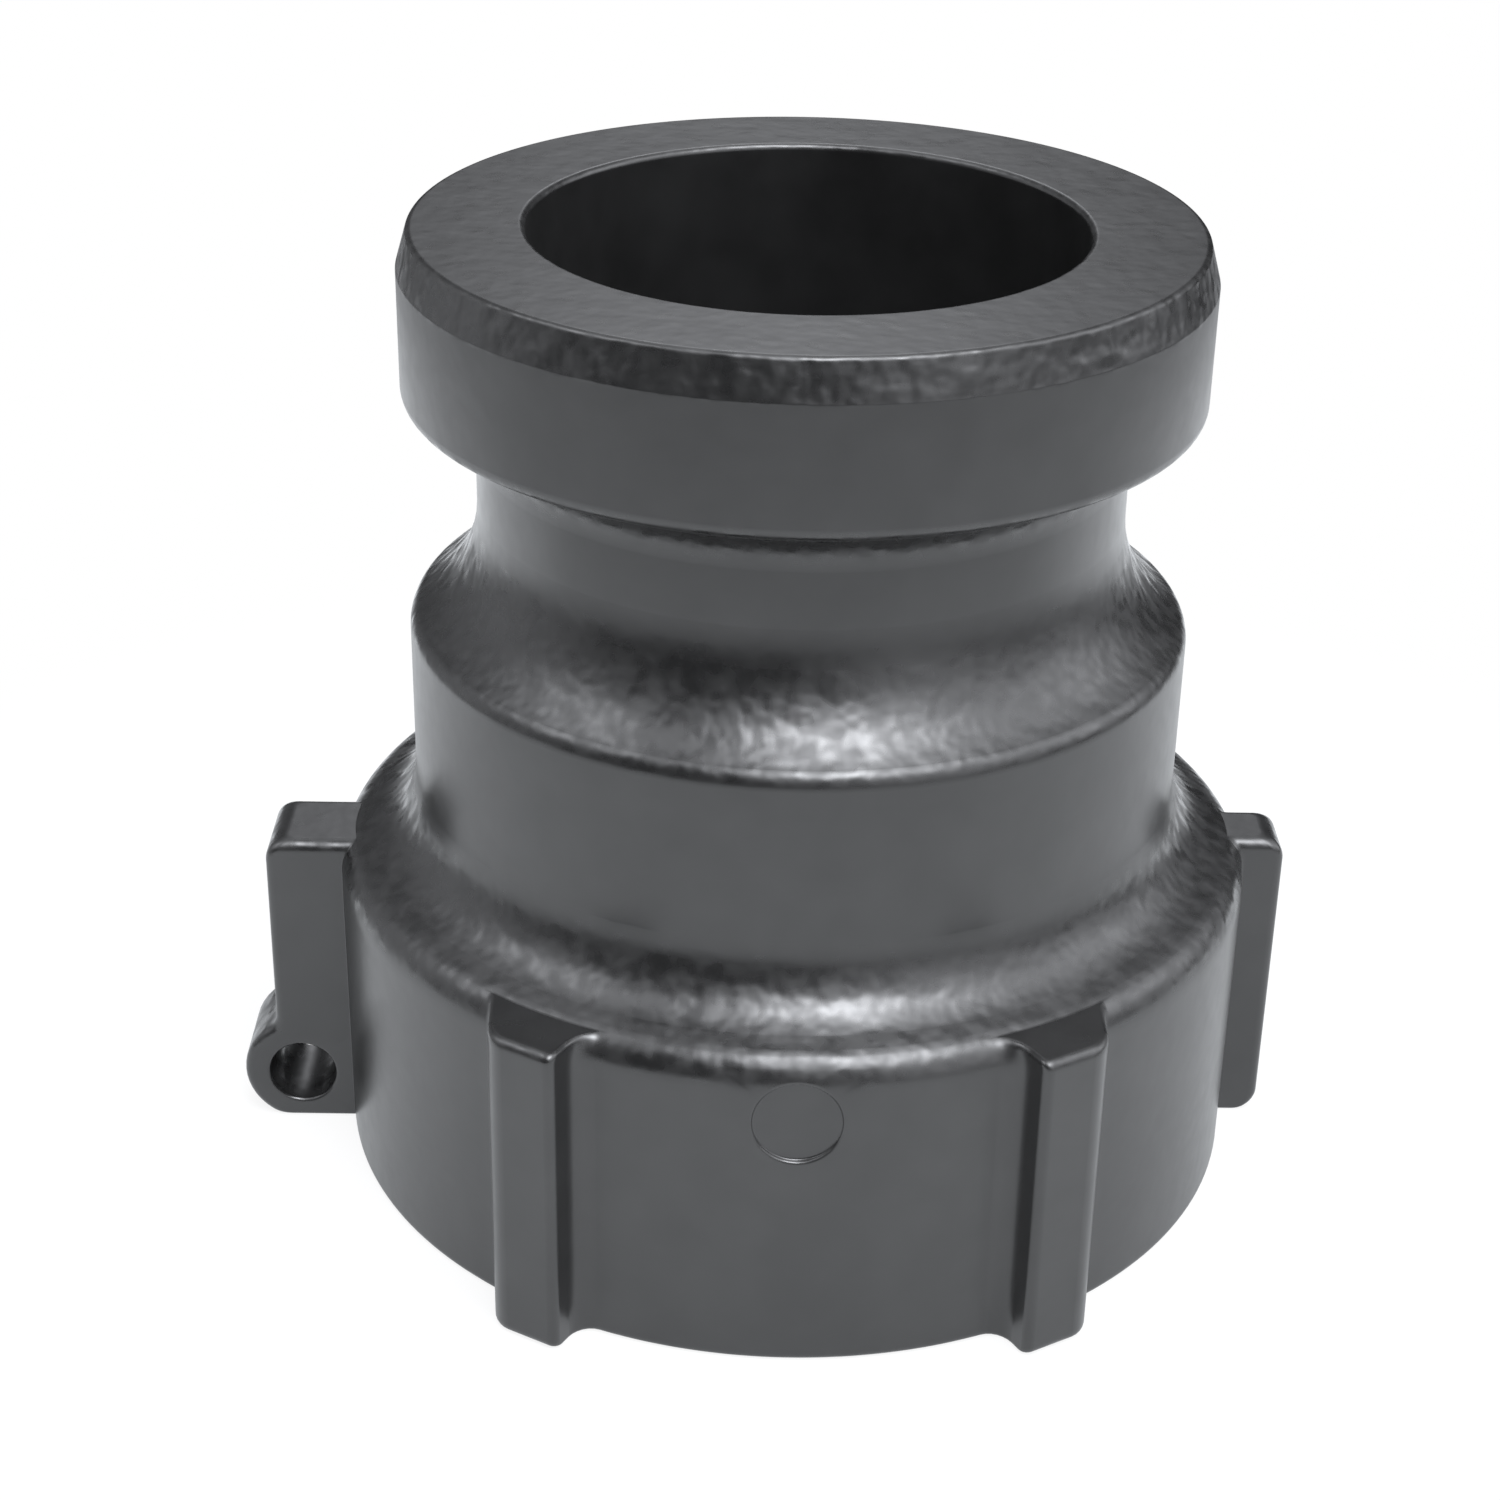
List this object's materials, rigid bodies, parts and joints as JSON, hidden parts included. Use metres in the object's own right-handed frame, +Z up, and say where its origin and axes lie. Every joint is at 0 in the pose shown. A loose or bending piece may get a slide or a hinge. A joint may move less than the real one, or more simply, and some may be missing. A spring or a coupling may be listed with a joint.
{
  "type": "cam and groove hose coupling adapter",
  "caption": "One-piece plastic male adapter: a grooved coupling end with a flow bore above a lugged collar with a female pipe socket and a lanyard eye.",
  "frame": {"origin": "centre of the socket's end face, on the axis that the pipe socket, the flow bore and the coupling rim share", "axes": "+Z up the axis from the pipe socket to the coupling end; -X towards the lug that carries the lanyard eye; -Y towards the plain sunk disc"},
  "size_m": [0.0882, 0.0758, 0.079],
  "materials": {
    "adapter_body": "satin, moulded dark grey glass-filled polypropylene"
  },
  "bodies": {
    "root": {"adapter_body": "adapter_body"}
  },
  "joints": []
}
